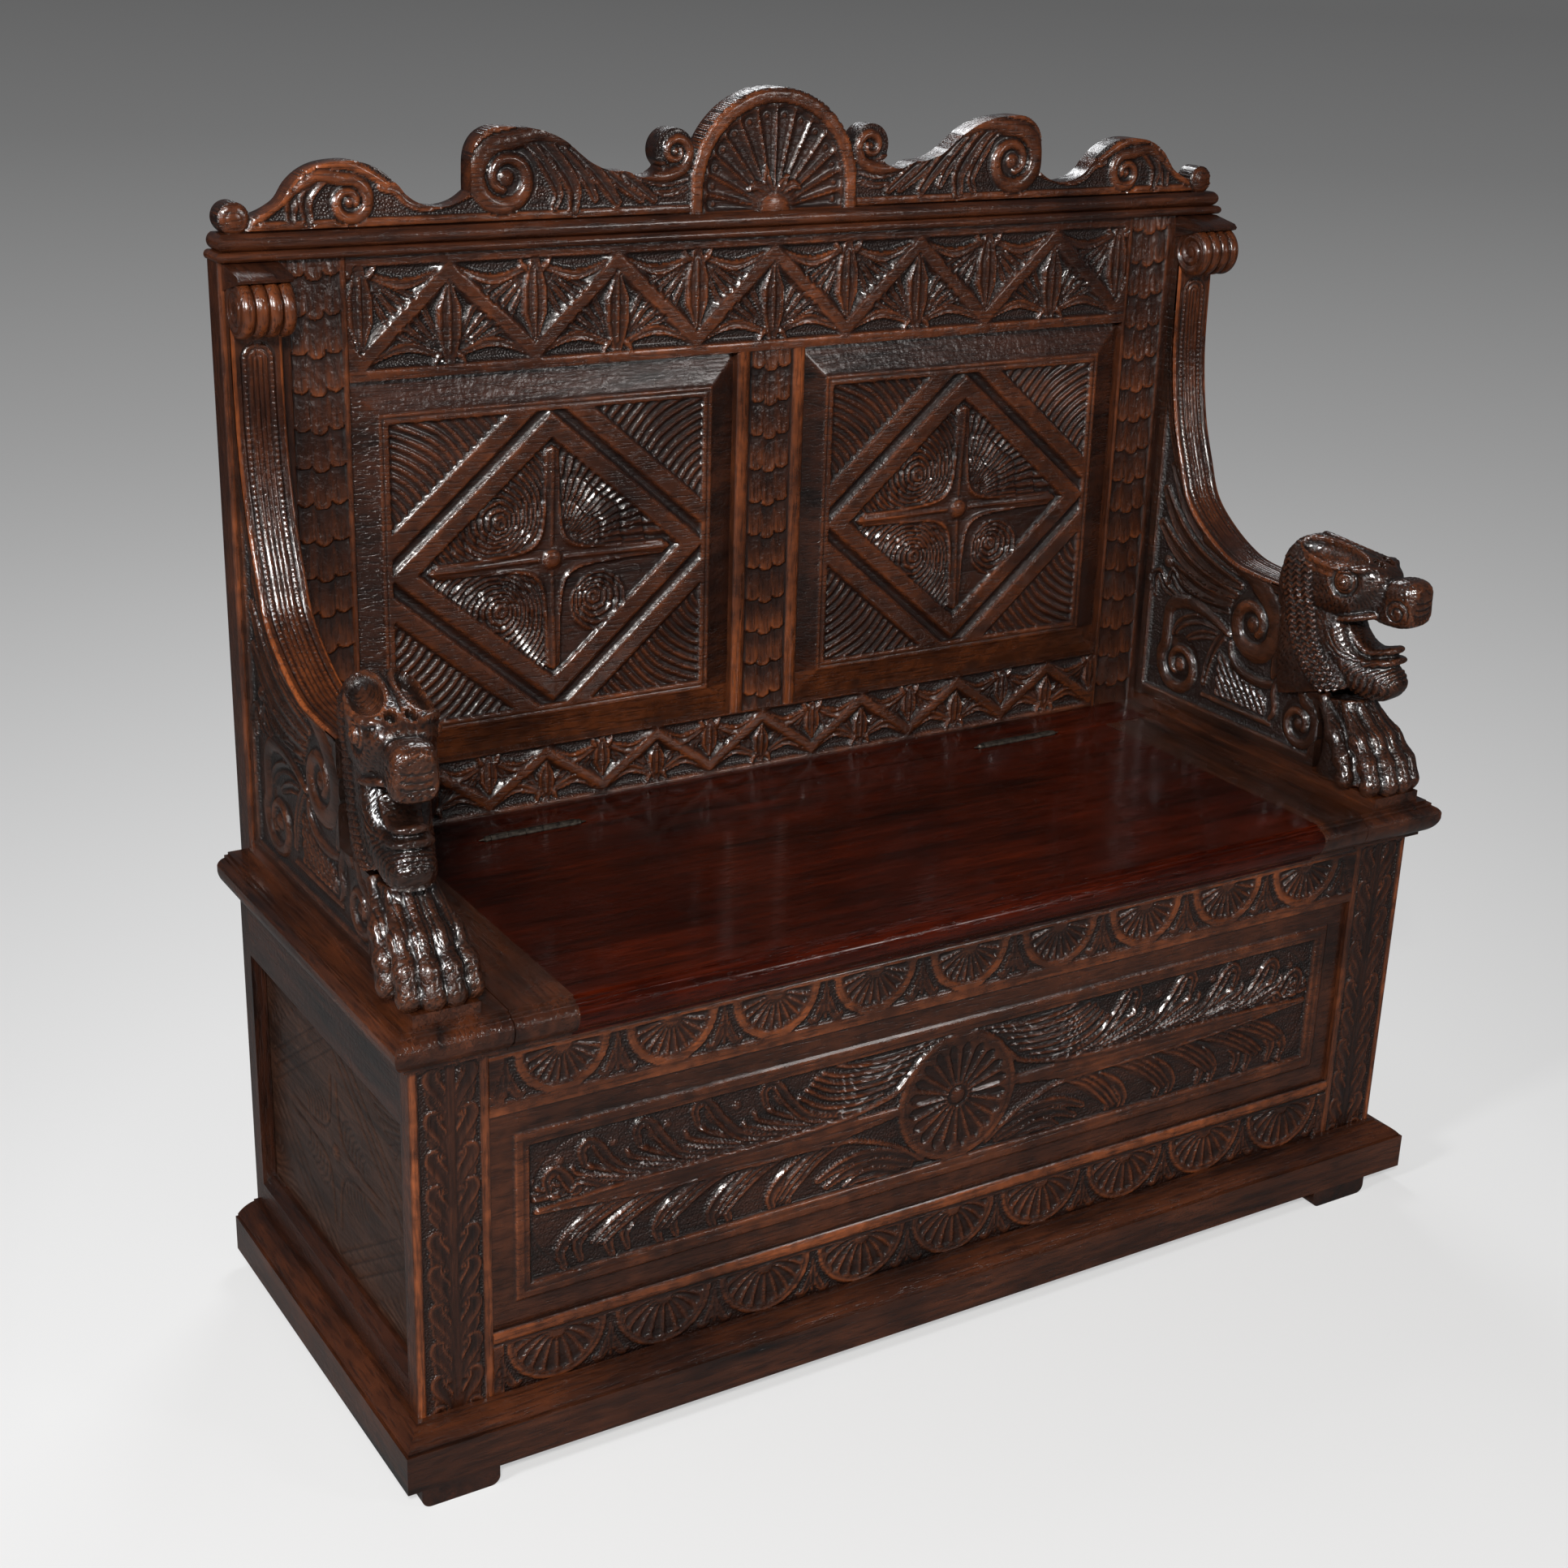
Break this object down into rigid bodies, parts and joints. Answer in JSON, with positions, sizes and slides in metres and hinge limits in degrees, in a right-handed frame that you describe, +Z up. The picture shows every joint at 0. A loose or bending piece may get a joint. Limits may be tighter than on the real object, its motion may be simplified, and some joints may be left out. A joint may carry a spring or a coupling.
{
  "type": "settle bench",
  "caption": "Carved dark oak hall settle: box seat with a hinged lid, panelled back under a scrolled shell crest, and solid arms that end in lion heads on paws.",
  "frame": {"origin": "on the floor under the middle of the bench", "axes": "+X along the seat to the sitter's left, +Y from the front to the back, +Z up"},
  "size_m": [1.1988, 0.4544, 1.166],
  "materials": {
    "oak_carved": "old dark wax over carved oak, worn red-brown on the edges",
    "oak_seat": "polished dark oak boards",
    "hinge_iron": "dark worn iron"
  },
  "bodies": {
    "bench": {"arm_base_left": "oak_carved", "arm_base_right": "oak_carved", "arm_panel_left": "oak_carved", "arm_panel_right": "oak_carved", "back_bottom_rail": "oak_carved", "back_muntin": "oak_carved", "back_panel_left": "oak_carved", "back_panel_right": "oak_carved", "back_stile_left": "oak_carved", "back_stile_right": "oak_carved", "back_top_rail": "oak_carved", "crest_board": "oak_carved", "crest_cornice": "oak_carved", "floor_board": "oak_carved", "foot_front_left": "oak_carved", "foot_front_right": "oak_carved", "foot_rear_left": "oak_carved", "foot_rear_right": "oak_carved", "front_bottom_rail": "oak_carved", "front_panel": "oak_carved", "front_stile_left": "oak_carved", "front_stile_right": "oak_carved", "front_top_rail": "oak_carved", "hinge_leaves_fixed": "hinge_iron", "hinge_pins": "hinge_iron", "lion_head_left": "oak_carved", "lion_head_right": "oak_carved", "lion_paw_left": "oak_carved", "lion_paw_right": "oak_carved", "plinth_front": "oak_carved", "plinth_left": "oak_carved", "plinth_right": "oak_carved", "rear_bottom_rail": "oak_carved", "rear_panel": "oak_carved", "rear_stile_left": "oak_carved", "rear_stile_right": "oak_carved", "rear_top_rail": "oak_carved", "seat_end_rail_left": "oak_seat", "seat_end_rail_right": "oak_seat", "seat_rear_rail": "oak_seat", "side_bottom_rail_left": "oak_carved", "side_bottom_rail_right": "oak_carved", "side_panel_left": "oak_carved", "side_panel_right": "oak_carved", "side_top_rail_left": "oak_carved", "side_top_rail_right": "oak_carved"},
    "lid": {"lid_board": "oak_seat", "lid_cleat_left": "oak_seat", "lid_cleat_right": "oak_seat", "hinge_leaves_moving": "hinge_iron"}
  },
  "joints": [
    {"name": "lid_hinge", "type": "hinge", "parent": "bench", "child": "lid", "pos_m": [0, 0.14125, 0.46], "axis": [-1, 0, 0], "range_deg": [0, 98]}
  ]
}
